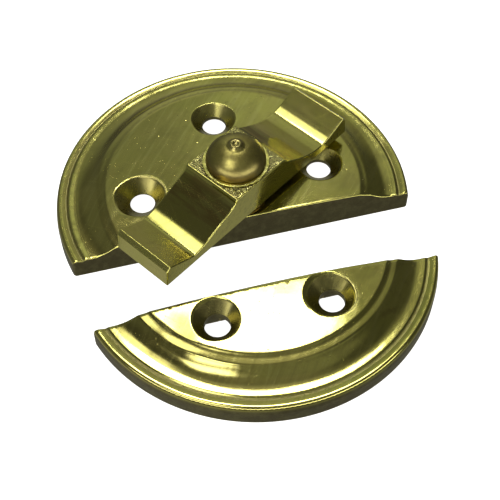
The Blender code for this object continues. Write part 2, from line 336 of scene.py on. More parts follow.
    def height_patch(self, f, sign, edge_r, loose, collars):
        """Triangulate the plan inside the outline and outside the bores, and lift it
        to f.  sign is 1 for the top and -1 for the underside.  loose holds free plan
        points; collars[i] holds radii of rings round bore i, outside its wall."""
        border, out = self.border, self.border_n
        bores = self.bores()
        fixed, loops, count = [border], [np.arange(len(border))], len(border)
        for hx, hy, hr in bores:
            fixed.append(self.circle(hx, hy, hr, HOLE_SEGS))
            loops.append(np.arange(count, count + HOLE_SEGS))
            count += HOLE_SEGS
        free = []
        for deg in (18, 34, 50, 66, 80, 90):
            free.append(border - out * edge_r * (1 - math.cos(math.radians(deg))))
        free.append(border[::2] - out[::2] * (edge_r + 0.12))
        if sign > 0:
            low = np.nonzero(np.abs(border[:, 1] - self.chord) < 1e-4)[0][::2]
            for k in range(1, 7):
                free.append(border[low] - out[low] * (edge_r + 0.12 + k * self.roll[1] / 7))
        free = np.concatenate(free)
        d = self.inset(free[:, 0], free[:, 1])
        free = free[d > 0.6 * edge_r * (1 - math.cos(math.radians(18)))]
        for i, (hx, hy, hr) in enumerate(bores):
            for extra in collars[i]:
                ring = self.circle(hx, hy, hr + extra, HOLE_SEGS)
                ring = ring[self.inset(ring[:, 0], ring[:, 1]) > edge_r + 0.05]
                free = np.concatenate([free, ring])
            reach = hr + max(collars[i]) + 0.12
            loose = loose[np.hypot(loose[:, 0] - hx, loose[:, 1] - hy) > reach]
        loose = loose[self.inset(loose[:, 0], loose[:, 1]) > edge_r + 0.2]
        free = np.concatenate([free, loose])
        for hx, hy, hr in bores:
            free = free[np.hypot(free[:, 0] - hx, free[:, 1] - hy) > hr + 0.02]
        _, once = np.unique(np.round(free / 0.03).astype(np.int64), axis=0, return_index=True)
        p = np.concatenate(fixed + [free[np.sort(once)]])
        edges = []
        for loop in loops:
            n = len(loop)
            edges += [(int(loop[k]), int(loop[(k + 1) % n])) for k in range(n)]
        res = geometry.delaunay_2d_cdt([Vector((float(a), float(b))) for a, b in p],
                                       edges, [], 0, 1e-6)
        q = np.array([tuple(v) for v in res[0]])
        tri = np.array([g for g in res[2] if len(g) == 3])
        cen = q[tri].mean(1)
        good = self.inset(cen[:, 0], cen[:, 1]) > 1e-5
        for hx, hy, hr in bores:
            good &= np.hypot(cen[:, 0] - hx, cen[:, 1] - hy) > hr * math.cos(math.pi / HOLE_SEGS)
        tri = tri[good]
        a, b = q[tri[:, 1]] - q[tri[:, 0]], q[tri[:, 2]] - q[tri[:, 0]]
        area = a[:, 0] * b[:, 1] - a[:, 1] * b[:, 0]
        tri = np.where((area < 0)[:, None], tri[:, ::-1], tri)[np.abs(area) > 1e-9]
        x, y = q[:, 0], q[:, 1]
        e = 0.004
        fx = (f(x + e, y) - f(x - e, y)) / (2 * e)
        fy = (f(x, y + e) - f(x, y - e)) / (2 * e)
        d = self.inset(x, y)
        d = np.where(d < 1e-3, 0.0, d)
        dx = (self.inset(x + e, y) - self.inset(x - e, y)) / (2 * e)
        dy = (self.inset(x, y + e) - self.inset(x, y - e)) / (2 * e)
        m = np.clip(edge_r - d, 0, edge_r)
        root = np.sqrt(np.maximum(edge_r ** 2 - m ** 2, 1e-12))
        z = f(x, y) - sign * (edge_r - root)
        slope = sign * m / root
        zx, zy = fx + slope * dx, fy + slope * dy
        no = sign * np.stack([-zx, -zy, np.ones_like(zx)], 1)
        on = d < 1e-3
        no[on] = np.stack([-dx[on], -dy[on], np.zeros(on.sum())], 1)
        for hx, hy, hr in bores:
            on = np.hypot(x - hx, y - hy) < hr + 2e-3
            no[on] = np.stack([hx - x[on], hy - y[on], np.full(on.sum(), sign * hr)], 1)
        co = np.stack([x + self.c[0], y + self.c[1], z], 1)
        return co, no, (tri if sign > 0 else tri[:, ::-1]).tolist()

    def make(self, name, material, body, node):
        self.border = self.outline()
        e = 0.002
        x, y = self.border.T
        gx = (self.inset(x + e, y) - self.inset(x - e, y)) / (2 * e)
        gy = (self.inset(x, y + e) - self.inset(x, y - e)) / (2 * e)
        n = np.stack([-gx, -gy], 1)
        self.border_n = n / np.linalg.norm(n, axis=1, keepdims=True)
        b = Build()
        n_holes = len(self.holes)

        def ring(r, n, shift=0.0):
            t = 2 * math.pi * (np.arange(n) + shift) / n
            return np.stack([r * np.cos(t), r * np.sin(t)], 1)

        # top: even rings on the field, fine ones on the moulding
        loose = [ring(r, max(12, int(r * 11)), 0.5) for r in np.arange(0.6, FIELD_R - 0.35, 0.6)]
        loose += [ring(r, RIM_SEGS) for r in MOULD_R]
        sink = (0.05, 0.35, 0.7, 1.05, 1.25, 1.36, 1.46, 1.55, 1.64, 1.73, 1.82, 1.92, 2.05, 2.2, 2.5)
        collars = [sink] * n_holes + ([(0.1, 0.4)] if self.pin else [])
        b.patch(*self.height_patch(self.top, 1, EDGE, np.concatenate(loose), collars))

        # underside: rings on the steps of the hollow, and lines along the chord wall
        loose = [ring(r, max(12, int(r * 7)), 0.5) for r in np.arange(1.0, FIELD_IN_R - 0.9, 1.0)]
        loose += [ring(r, 360) for r in (17.6, 17.9, 18.2, 18.5, 19.0, 19.6, 20.1, 20.4, 20.7, 21.1, 22.0,
                                         22.9, 23.05, 23.2, 23.35, 23.5, 23.53, 23.57, 23.6, 23.66,
                                         24.2, 25.4, 26.4)]
        for d in (-0.1, 0.0, 0.06, 0.12, 0.18, 0.25, 0.35, 0.5, 0.7, 1.1):
            yy = self.chord + self.s * (d + self.wall)
            w = math.sqrt(DISC_R ** 2 - yy * yy) - 0.5
            xs = np.linspace(-w, w, int(2 * w / 0.4))
            loose.append(np.stack([xs, np.full_like(xs, yy)], 1))
        collars = [(0.25,)] * len(self.bores())
        b.patch(*self.height_patch(self.under, -1, UNDER_EDGE, np.concatenate(loose), collars))

        # side wall, then the wall of every bore
        zt = self.top(x, y) - EDGE
        rows, nor = [], []
        for f in (0.0, 0.5, 1.0):
            rows.append(np.stack([x + self.c[0], y + self.c[1], zt * (1 - f) + UNDER_EDGE * f], 1))
            nor.append(np.column_stack([self.border_n, np.zeros(len(x))]))
        b.grid(rows, nor, close_v=True, flip=True)
        for hx, hy, hr in self.bores():
            c = self.circle(hx, hy, hr, HOLE_SEGS)
            zt, zb = self.top(c[:, 0], c[:, 1]), self.under(c[:, 0], c[:, 1])
            inward = np.column_stack([hx - c[:, 0], hy - c[:, 1], np.zeros(HOLE_SEGS)])
            rows = [np.column_stack([c + np.array(self.c), zt * (1 - f) + zb * f]) for f in (0.0, 0.5, 1.0)]
            b.grid(rows, [inward] * 3, close_v=True)
        return b.finish(name, material, body, node)


# ------------------------------------------------------------------ turn button
def wing(knots):
    """Half of the button's side outline, (distance from pivot, height), boss to tip:
    easing between the knots of the sweep by cubic interpolation."""
    s, z = np.array(knots).T
    m = np.gradient(z[2:], s[2:])
    pts = [(s[0], z[0]), (s[1], z[1])]
    for i in range(2, len(s) - 1):
        for t in np.linspace(0, 1, 6, endpoint=False):
            h = s[i + 1] - s[i]
            a, b = m[i - 2], m[i - 1]
            zz = ((2 * t ** 3 - 3 * t ** 2 + 1) * z[i] + (t ** 3 - 2 * t ** 2 + t) * h * a
                  + (3 * t ** 2 - 2 * t ** 3) * z[i + 1] + (t ** 3 - t ** 2) * h * b)
            pts.append((s[i] + h * t, zz))
    pts.append((s[-1], z[-1]))
    return pts


WING_LEFT = [(BOSS, BOSS_TOP), (5.40, 12.16), (5.66, 11.88), (6.05, 11.62), (6.7, 11.31), (7.5, 10.98),
             (8.4, 10.59), (9.3, 10.17), (10.3, 9.70), (11.2, 9.29), (11.9, 9.01), (12.4, 8.850), (13.0, 8.705),
             (13.5, 8.615), (13.85, 8.575), (14.12, 8.590), (14.5, 8.700), (15.0, 8.895), (15.8, 9.23),
             (16.7, 9.62), (17.7, 10.07), (LEVER_L, TIP_TOP)]
WING_RIGHT = [(BOSS, BOSS_TOP), (5.40, 12.14), (5.66, 11.86), (6.05, 11.56), (6.85, 11.08), (7.9, 10.45),
              (9.1, 9.77), (10.3, 9.22), (11.2, 8.90), (12.0, 8.70), (12.8, 8.595), (13.4, 8.565), (13.8, 8.570),
              (14.1, 8.595), (14.5, 8.670), (15.0, 8.800), (15.35, 8.920), (15.8, 9.125), (16.4, 9.415),
              (17.0, 9.705), (17.8, 10.095), (LEVER_L, TIP_TOP)]
LEVER_EASE = 0.19


def make_lever(material):
    b = Build()
    tip = LEVER_L + TIP
    # broken upper edge of the tip, then the end face with a little draft
    end = [(tip - 0.23, TIP_TOP - 0.63), (tip, LEVER_UNDER)]
    right, left = wing(WING_RIGHT) + end, wing(WING_LEFT) + end
    # whole outline clockwise from the boss edge, so that the outward side is to the left
    outline = right + [(-s, z) for s, z in reversed(left)]
    rad = []
    for side in (right, left):
        rad.append([0.45, 0.30] + [0.0] * (len(side) - 5) + [0.36, 0.20, 0.12])
    rad = rad[0] + rad[1][::-1]
    pts, out = fillet(outline, rad, 9.0, closed=True)
    out = -out
    n = len(pts)
    ca, sa = math.cos(TURN), math.sin(TURN)

    def place(sz, w, ns=None, nw=None):
        s_, z_ = sz[:, 0], sz[:, 1]
        co = np.stack([PIVOT[0] + s_ * ca - w * sa, PIVOT[1] + s_ * sa + w * ca, z_], 1)
        if ns is None:
            return co
        no = np.stack([ns[:, 0] * ca - nw * sa, ns[:, 0] * sa + nw * ca, ns[:, 1]], 1)
        return co, no

    wide = LEVER_W - LEVER_EASE
    cols = np.linspace(-wide, wide, 15)
    # the boss top and the underside are flat fields with the bore through them
    top_span = np.abs(pts[:, 1] - BOSS_TOP) < 1e-6
    low_span = np.abs(pts[:, 1] - LEVER_UNDER) < 1e-6
    flat = set()
    for span in (top_span, low_span):
        idx = np.nonzero(span)[0]
        for k in idx:
            if span[(k + 1) % n]:
                flat.add(int(k))
    grid = [place(pts, np.full(n, w), out, np.zeros(n)) for w in cols]
    co = np.array([g[0] for g in grid])
    no = np.array([g[1] for g in grid])
    faces = []
    for j in range(len(cols) - 1):
        for k in range(n):
            if k in flat:
                continue
            k2 = (k + 1) % n
            faces.append((j * n + k, j * n + k2, (j + 1) * n + k2, (j + 1) * n + k))
    b.patch(co.reshape(-1, 3), no.reshape(-1, 3), faces)
    for side in (1, -1):
        rows, nor = [], []
        for deg in (0, 18, 36, 54, 72, 90):
            a = math.radians(deg)
            p = pts - out * LEVER_EASE * (1 - math.cos(a))
            w = side * (wide + LEVER_EASE * math.sin(a))
            c_, n_ = place(p, np.full(n, w), out * math.cos(a), np.full(n, side * math.sin(a)))
            rows.append(c_)
            nor.append(n_)
        b.grid(rows, nor, close_v=True, flip=side < 0)
        # cheek: triangles between the upper and lower runs of the outline
        edge = rows[-1]
        flatp = pts - out * LEVER_EASE
        tri = geometry.tessellate_polygon([[Vector((float(a), float(c), 0.0)) for a, c in flatp]])
        cheek = np.tile(nor[-1][0], (n, 1))
        fixed = []
        for t in tri:
            a, c, d = flatp[t[0]], flatp[t[1]], flatp[t[2]]
            area = (c[0] - a[0]) * (d[1] - a[1]) - (c[1] - a[1]) * (d[0] - a[0])
            if abs(area) < 1e-10:
                continue
            # seen from +w the frame (s, z) is mirrored
            fixed.append(tuple(t) if (area > 0) == (side < 0) else tuple(reversed(t)))
        b.patch(edge, cheek, fixed)
    # flat fields with the bore
    segs = 72
    ang = 2 * math.pi * np.arange(segs) / segs
    bore = np.stack([LEVER_BORE_R * np.cos(ang), LEVER_BORE_R * np.sin(ang)], 1)
    ease = 0.12
    mouth = bore * (LEVER_BORE_R + ease) / LEVER_BORE_R
    for z, up in ((BOSS_TOP, 1), (LEVER_UNDER, -1)):
        span = np.abs(pts[:, 1] - z) < 1e-6
        ss = np.sort(pts[span][:, 0])
        ring = [(ss[0], w) for w in cols] + [(s_, cols[-1]) for s_ in ss[1:-1]] \
            + [(ss[-1], w) for w in cols[::-1]] + [(s_, cols[0]) for s_ in ss[1:-1][::-1]]
        ring = np.array(ring)
        p = np.concatenate([ring, mouth])
        m = len(ring)
        edges = [(k, (k + 1) % m) for k in range(m)] + [(m + k, m + (k + 1) % segs) for k in range(segs)]
        res = geometry.delaunay_2d_cdt([Vector((float(a), float(c))) for a, c in p], edges, [], 0, 1e-6)
        tri = np.array([f for f in res[2] if len(f) == 3])
        src = [o[0] for o in res[3]]
        q = p[src]
        cen = q[tri].mean(1)
        tri = tri[np.hypot(cen[:, 0], cen[:, 1]) > (LEVER_BORE_R + ease) * math.cos(math.pi / segs)]
        a, c = q[tri[:, 1]] - q[tri[:, 0]], q[tri[:, 2]] - q[tri[:, 0]]
        area = a[:, 0] * c[:, 1] - a[:, 1] * c[:, 0]
        tri = np.where(((area < 0) == (up > 0))[:, None], tri[:, ::-1], tri)[np.abs(area) > 1e-9]
        co = place(np.stack([q[:, 0], np.full(len(q), z)], 1), q[:, 1])
        b.patch(co, np.tile((0, 0, up), (len(q), 1)), tri.tolist())
    prof, nor2 = fillet([(LEVER_BORE_R + ease, BOSS_TOP), (LEVER_BORE_R, BOSS_TOP - ease),
                         (LEVER_BORE_R, LEVER_UNDER + ease), (LEVER_BORE_R + ease, LEVER_UNDER)],
                        [0.02] * 4, 20)
    turn(b, prof, nor2, segs, TURN)
    return b.finish("turn_button", material, "lever", "turn_lever")


# ------------------------------------------------------------------ turned pieces
def turn(b, prof, nor, segs, start=0.0):
    """Surface of revolution about the pivot from (radius, height) points."""
    ang = start + 2 * math.pi * np.arange(segs) / segs
    c, s = np.cos(ang), np.sin(ang)
    rows = [np.stack([PIVOT[0] + r * c, PIVOT[1] + r * s, np.full(segs, z)], 1) for r, z in prof]
    nrm = [np.stack([a * c, a * s, np.full(segs, d)], 1) for a, d in nor]
    b.grid(rows, nrm, close_v=True)


def plate_top_at_pivot():
    r = abs(PIVOT[1] - BASE_CENTRE[1])
    return CROWN_H - CROWN_DROP * (r / CROWN_R) ** 2


def make_rivet(material):
    seat = BOSS_TOP + GAP + WASHER_T + GAP
    foot = plate_top_at_pivot() + GAP
    tail = BASE_CEIL - GAP - BACK_WASHER_T - GAP
    dome_z = seat + 0.10
    rise = DOME_APEX - dome_z
    pts = [(0.0, DOME_APEX + 0.13), (0.22, DOME_APEX + 0.14), (0.46, DOME_APEX + 0.27),
           (0.66, DOME_APEX + NUB_H), (0.86, DOME_APEX + 0.24), (NUB_R + 0.13, DOME_APEX + 0.03),
           (NUB_R + 0.30, DOME_APEX - 0.10)]
    rad = [0, 0.3, 0.3, 0.22, 0.3, 0.35, 0.4]
    for deg in range(72, 0, -3):
        a = math.radians(deg)
        pts.append((DOME_R * math.cos(a) ** 0.985, dome_z + rise * math.sin(a)))
        rad.append(0.0)
    pts += [(DOME_R, dome_z), (DOME_R - 0.08, seat), (SHANK_R, seat), (SHANK_R, foot), (TENON_R, foot),
            (TENON_R, tail), (TAIL_R - 0.12, tail)]
    rad += [0.05, 0.05, 0.05, 0.05, 0.05, 0.05, 0.05]
    for deg in range(0, 91, 10):
        a = math.radians(deg)
        pts.append(((TAIL_R - 0.10) * math.cos(a) + 0.1 * (deg < 90), tail - 0.1 - (TAIL_H - 0.1) * math.sin(a)))
        rad.append(0.05 if deg == 0 else 0.0)
    prof, nor = fillet(pts, rad, 14)
    nor = -nor
    b = Build()
    turn_down(b, prof, nor, 144)
    return b.finish("rivet_dome", material, "base", "pivot_rivet")


def turn_down(b, prof, nor, segs):
    """As turn, for a profile that runs from the top down its outer side."""
    turn(b, prof[::-1], nor[::-1], segs)


def ring_section(inner, outer, low, high, ease):
    return fillet([(inner, low), (outer, low), (outer, high), (inner, high)], [ease] * 4, 15, closed=True)


def make_washer(name, inner, outer, low, high, ease, material, node):
    prof, nor = ring_section(inner, outer, low, high, ease)
    prof = np.vstack([prof, prof[:1]])
    nor = np.vstack([nor, nor[:1]])
    b = Build()
    turn(b, prof, nor, 144)
    return b.finish(name, material, "base", node)


def make_wave(material):
    low = plate_top_at_pivot() + GAP
    high = LEVER_UNDER - GAP
    mid, swing = (low + high) / 2, (high - low - WAVE_T) / 2
    sec, nor = ring_section(WAVE_IN, WAVE_OUT, -WAVE_T / 2, WAVE_T / 2, 0.09)
    segs = 240
    rows, nrm = [], []
    for k in range(segs):
        a = 2 * math.pi * k / segs
        c, s = math.cos(a), math.sin(a)
        lift = mid + swing * math.cos(WAVE_COUNT * a)
        rows.append([(PIVOT[0] + r * c, PIVOT[1] + r * s, z + lift) for r, z in sec])
        fall = -WAVE_COUNT * swing * math.sin(WAVE_COUNT * a)
        nrm.append([(nr * c + nz * fall * s / r, nr * s - nz * fall * c / r, nz)
                    for (nr, nz), (r, z) in zip(nor, sec)])
    b = Build()
    b.grid(rows, nrm, close_u=True, close_v=True, flip=True)
    return b.finish("wave_washer", material, "base", "wave_spring")


# ------------------------------------------------------------------ materials
class Graph:
    """Short calls for adding and wiring shader nodes."""

    def __init__(self, tree):
        self.tree = tree
        self.tree.nodes.clear()

    def node(self, kind, **settings):
        n = self.tree.nodes.new(kind)
        for key, value in settings.items():
            setattr(n, key, value)
        return n

    def plug(self, socket, value):
        if isinstance(value, bpy.types.NodeSocket):
            self.tree.links.new(value, socket)
        elif isinstance(value, (tuple, list)) and len(socket.default_value) == 4 and len(value) == 3:
            socket.default_value = (*value, 1.0)
        else:
            socket.default_value = value

    def math(self, op, a, b=None, c=None, clamp=False):
        n = self.node("ShaderNodeMath", operation=op, use_clamp=clamp)
        for i, v in enumerate((a, b, c)):
            if v is not None:
                self.plug(n.inputs[i], v)
        return n.outputs[0]

    def add(self, a, b):
        return self.math("ADD", a, b)

    def mul(self, a, b):
        return self.math("MULTIPLY", a, b)

    def vec(self, op, a, b=None, out=0):
        n = self.node("ShaderNodeVectorMath", operation=op)
        self.plug(n.inputs[0], a)
        if b is not None:
            self.plug(n.inputs[1], b)
        return n.outputs[out]

    def step(self, value, low, high, a=0.0, b=1.0):
        """Smooth step from a at low to b at high."""
        n = self.node("ShaderNodeMapRange", interpolation_type="SMOOTHSTEP")
        for key, v in (("Value", value), ("From Min", low), ("From Max", high), ("To Min", a), ("To Max", b)):
            self.plug(n.inputs[key], v)
        return n.outputs[0]

    def lin(self, value, low, high, a, b):
        n = self.node("ShaderNodeMapRange", clamp=True)
        for key, v in (("Value", value), ("From Min", low), ("From Max", high), ("To Min", a), ("To Max", b)):
            self.plug(n.inputs[key], v)
        return n.outputs[0]

    def band(self, value, centre, half, soft):
        """1 within half of centre, falling to 0 over soft."""
        return self.step(self.math("ABSOLUTE", self.math("SUBTRACT", value, centre)), half, half + soft, 1.0, 0.0)

    def mix(self, factor, a, b, blend="MIX"):
        n = self.node("ShaderNodeMix", data_type="RGBA", blend_type=blend)
        self.plug(n.inputs[0], factor)
        self.plug(n.inputs[6], a)
        self.plug(n.inputs[7], b)
        return n.outputs[2]

    def noise(self, vector, scale, detail=3.0, rough=0.5, distort=0.0):
        n = self.node("ShaderNodeTexNoise", noise_dimensions="3D")
        self.plug(n.inputs["Vector"], vector)
        for key, v in (("Scale", scale), ("Detail", detail), ("Roughness", rough), ("Distortion", distort)):
            self.plug(n.inputs[key], v)
        return n.outputs["Fac"]

    def cells(self, vector, scale, out="Distance", feature="F1"):
        n = self.node("ShaderNodeTexVoronoi", feature=feature)
        self.plug(n.inputs["Vector"], vector)
        self.plug(n.inputs["Scale"], scale)
        return n.outputs[out]

    def turned(self, vector, origin, degrees, stretch=(1, 1, 1)):
        """Coordinates about origin, turned about Z, then stretched."""
        moved = self.vec("SUBTRACT", vector, origin)
        n = self.node("ShaderNodeVectorRotate", rotation_type="Z_AXIS")
        self.plug(n.inputs["Vector"], moved)
        n.inputs["Angle"].default_value = math.radians(degrees)
        return self.vec("MULTIPLY", n.outputs[0], stretch)

    def parts(self, vector):
        n = self.node("ShaderNodeSeparateXYZ")
        self.plug(n.inputs[0], vector)
        return n.outputs[0], n.outputs[1], n.outputs[2]

    def join(self, x, y, z):
        n = self.node("ShaderNodeCombineXYZ")
        for i, v in enumerate((x, y, z)):
            self.plug(n.inputs[i], v)
        return n.outputs[0]

    def bump(self, height, depth_mm, normal=None):
        """height 0..1 stands for depth_mm of relief."""
        n = self.node("ShaderNodeBump")
        n.inputs["Strength"].default_value = 1.0
        n.inputs["Distance"].default_value = depth_mm * MM
        self.plug(n.inputs["Height"], height)
        if normal is not None:
            self.plug(n.inputs["Normal"], normal)
        return n.outputs[0]


def start_material(name):
    mat = bpy.data.materials.new(name)
    mat.use_nodes = True
    g = Graph(mat.node_tree)
    place = g.node("ShaderNodeTexCoord").outputs["Object"]
    p = g.vec("MULTIPLY", place, (1000.0, 1000.0, 1000.0))      # millimetres
    up = g.parts(g.node("ShaderNodeNewGeometry").outputs["Normal"])[2]
    return mat, g, p, up


def end_material(g, colour, roughness, normal, anisotropic=None, tangent=None):
    bsdf = g.node("ShaderNodeBsdfPrincipled")
    g.plug(bsdf.inputs["Base Color"], colour)
    g.plug(bsdf.inputs["Metallic"], 1.0)
    g.plug(bsdf.inputs["Roughness"], roughness)
    g.plug(bsdf.inputs["Normal"], normal)
    if anisotropic is not None:
        g.plug(bsdf.inputs["Anisotropic"], anisotropic)
        g.plug(bsdf.inputs["Tangent"], tangent)
    out = g.node("ShaderNodeOutputMaterial")
    g.tree.links.new(bsdf.outputs[0], out.inputs["Surface"])


BRIGHT = (0.64, 0.60, 0.170)       # freshly rubbed brass; also the painted highlight on crests, arrises and lips
BRASS = (0.51, 0.49, 0.128)
DULL = (0.38, 0.335, 0.105)        # brown, lightly tarnished
DARK = (0.17, 0.145, 0.062)        # dark of pits, and painted shade round the head washer and at the foot of the dome


def scratches(g, p, count, seed, fine=1.0):
    """Hairlines in a few directions: 1 on a line, 0 between."""
    total = None
    for k in range(count):
        q = g.turned(p, (0.37 * seed, 0.91 * k, 0.0), 23.0 * seed + 180.0 * k / count + 11.0 * k * k,
                     (0.11, 3.6 * fine, 0.3))
        wob = g.noise(q, 1.0, 2.0, 0.55, 0.15)
        line = g.step(wob, 0.66, 0.72)
        total = line if total is None else g.math("MAXIMUM", total, line)
    return total


def plate_material(name, centre, chord, side, sinks):
    """Cast brass plate, polished on the face; side is +1 when the plate lies beyond its chord."""
    mat, g, p, up = start_material(name)
    x, y, z = g.parts(g.vec("SUBTRACT", p, (centre[0], centre[1], 0.0)))
    r = g.math("SQRT", g.add(g.mul(x, x), g.mul(y, y)))
    from_chord = g.mul(g.math("SUBTRACT", y, chord), float(side))
    # satin inside the countersinks, where the colour is also darkened as painted shade
    sink = None
    for hx, hy, width, _, _ in sinks:
        away = g.vec("DISTANCE", g.join(x, y, 0.0), (hx, hy, 0.0), 1)
        inside = g.step(away, width / 2 - 0.10, width / 2 + 0.06, 1.0, 0.0)
        sink = inside if sink is None else g.math("MAXIMUM", sink, inside)
    # lighter ring at each countersink lip: rubbed wear, and a painted highlight
    lip_wear_and_highlight = None
    for hx, hy, width, _, _ in sinks:
        away = g.vec("DISTANCE", g.join(x, y, 0.0), (hx, hy, 0.0), 1)
        ring = g.band(away, width / 2 + 0.02, 0.06, 0.12)
        lip_wear_and_highlight = ring if lip_wear_and_highlight is None else g.math("MAXIMUM", lip_wear_and_highlight, ring)

    wall = g.step(g.math("ABSOLUTE", up), 0.12, 0.34, 1.0, 0.0)       # chord face and rim side
    below = g.step(up, -0.12, -0.34, 0.0, 1.0)
    face = g.math("SUBTRACT", 1.0, g.math("MAXIMUM", wall, below), clamp=True)

    broad = g.noise(p, 0.13, 3.0, 0.55, 0.6)
    mottle = g.noise(p, 0.62, 4.0, 0.6, 0.3)
    fine = g.noise(p, 3.2, 4.0, 0.62)
    grain = g.noise(p, 9.0, 3.0, 0.65)
    hair = scratches(g, p, 3, 2.0)

    colour = g.mix(g.step(broad, 0.35, 0.68), BRASS, (0.54, 0.50, 0.145))
    # browner to the left of the middle, in long soft smears
    smear = g.noise(g.turned(p, (3.0, 1.0, 0.0), 28.0, (0.07, 0.30, 0.2)), 1.0, 4.0, 0.55, 0.5)
    left = g.step(g.add(x, g.mul(g.math("SUBTRACT", smear, 0.5), 22.0)), 8.0, -12.0)
    colour = g.mix(g.mul(g.mul(left, face), 0.50), colour, (0.42, 0.35, 0.125))
    colour = g.mix(g.mul(g.step(mottle, 0.50, 0.72), 0.40), colour, DULL)
    patch = g.noise(g.turned(p, (11.0, 4.0, 0.0), -35.0, (0.10, 0.22, 0.2)), 1.0, 3.0, 0.5, 0.8)
    colour = g.mix(g.mul(g.step(patch, 0.50, 0.68), g.mul(face, 0.50)), colour, (0.33, 0.295, 0.095))
    # faint wipe marks, lighter and darker
    wipe = g.noise(g.turned(p, (0.0, 5.0, 0.0), -52.0, (0.10, 1.5, 0.2)), 1.0, 4.0, 0.6, 0.35)
    colour = g.mix(g.mul(g.step(wipe, 0.52, 0.66), g.mul(face, 0.22)), colour, (0.66, 0.63, 0.26))
    colour = g.mix(g.mul(g.step(wipe, 0.47, 0.34), g.mul(face, 0.22)), colour, (0.34, 0.32, 0.11))
    colour = g.mix(g.lin(fine, 0.35, 0.70, 0.0, 0.22), colour, (0.44, 0.40, 0.13))
    # painted shade at the foot of the field and in the groove, broken up
    broken = g.step(g.noise(p, 1.3, 3.0, 0.6), 0.36, 0.62, 0.25, 1.0)
    corner = g.math("MAXIMUM", g.mul(g.band(r, 19.75, 0.10, 0.40), 0.25),
                    g.band(r, 25.30, 0.10, 0.20))
    groove_shade = g.mul(g.mul(corner, g.math("MAXIMUM", broken, g.step(r, 24.6, 24.9, 0.0, 0.85))), face)
    # lighter brass on both beads and the arris along the chord: rubbed wear, and a painted highlight
    crest_wear_and_highlight = g.math("MAXIMUM", g.band(r, 24.65, 0.25, 0.30), g.band(r, 26.24, 0.12, 0.25))
    arris = g.step(from_chord, 0.10, 0.34, 1.0, 0.0)
    crest_wear_and_highlight = g.math("MAXIMUM", crest_wear_and_highlight, lip_wear_and_highlight)
    rub_and_highlight = g.mul(g.math("MAXIMUM", crest_wear_and_highlight, arris), g.step(g.noise(p, 0.9, 2.0, 0.5), 0.34, 0.6, 0.35, 1.0))
    rub_and_highlight = g.mul(rub_and_highlight, face)
    # specks: small nicks and pits
    nick = g.mul(g.step(g.cells(p, 0.30), 0.030, 0.065, 1.0, 0.0), g.step(broad, 0.50, 0.56))
    pit = g.mul(g.step(g.cells(g.vec("ADD", p, (3.1, 7.7, 1.3)), 1.9), 0.05, 0.15, 1.0, 0.0),
                g.step(mottle, 0.50, 0.62))

    # painted shade: darker colour inside the countersinks, darkest on the keeper
    colour = g.mix(g.mul(g.mul(sink, face), 0.65), colour,
                   (0.36, 0.32, 0.112) if side > 0 else (0.20, 0.175, 0.070))
    colour = g.mix(rub_and_highlight, colour, BRIGHT)
    colour = g.mix(g.mul(hair, 0.14), colour, BRIGHT)
    colour = g.mix(g.mul(groove_shade, 0.80), colour, (0.15, 0.135, 0.055))
    colour = g.mix(g.mul(pit, 0.6), colour, DARK)
    # walls: filed and matt, brown with tarnish and darkened as painted shade; underside: as cast
    wall_tarnish_and_shade = g.mix(g.step(mottle, 0.38, 0.66), (0.135, 0.118, 0.056), (0.185, 0.168, 0.080))
    wall_tarnish_and_shade = g.mix(g.mul(g.step(fine, 0.45, 0.75), 0.5), wall_tarnish_and_shade, (0.105, 0.088, 0.042))
    cast_colour = g.mix(g.step(mottle, 0.35, 0.70), (0.40, 0.345, 0.135), (0.26, 0.215, 0.085))
    colour = g.mix(wall, colour, wall_tarnish_and_shade)
    colour = g.mix(below, colour, cast_colour)

    rough = g.lin(mottle, 0.35, 0.75, 0.095, 0.155)
    rough = g.add(rough, g.lin(wipe, 0.40, 0.65, 0.0, 0.035))
    rough = g.add(rough, g.mul(hair, 0.02))
    rough = g.add(rough, g.mul(groove_shade, 0.40))
    rough = g.math("SUBTRACT", rough, g.mul(rub_and_highlight, 0.02))
    rough = g.add(rough, g.mul(g.mul(sink, face), 0.15 if side > 0 else 0.11))
    rough = g.add(rough, g.mul(wall, g.lin(fine, 0.3, 0.7, 0.20, 0.33)))
    rough = g.add(rough, g.mul(below, g.lin(fine, 0.3, 0.7, 0.36, 0.5)))

    # relief: slow undulation of the hand polish, grain, hairlines, nicks
    wave = g.noise(p, 0.34, 2.0, 0.45)
    n = g.bump(wave, 0.012)
    n = g.bump(wipe, 0.0030, n)
    n = g.bump(fine, 0.0011, n)
    n = g.bump(g.mul(hair, -1.0), 0.0005, n)
    n = g.bump(g.mul(g.math("MAXIMUM", nick, pit), g.mul(face, -1.0)), 0.022, n)
    n = g.bump(g.mul(grain, g.math("MAXIMUM", g.mul(wall, 0.35), below)), 0.040, n)
    end_material(g, colour, rough, n)
    return mat


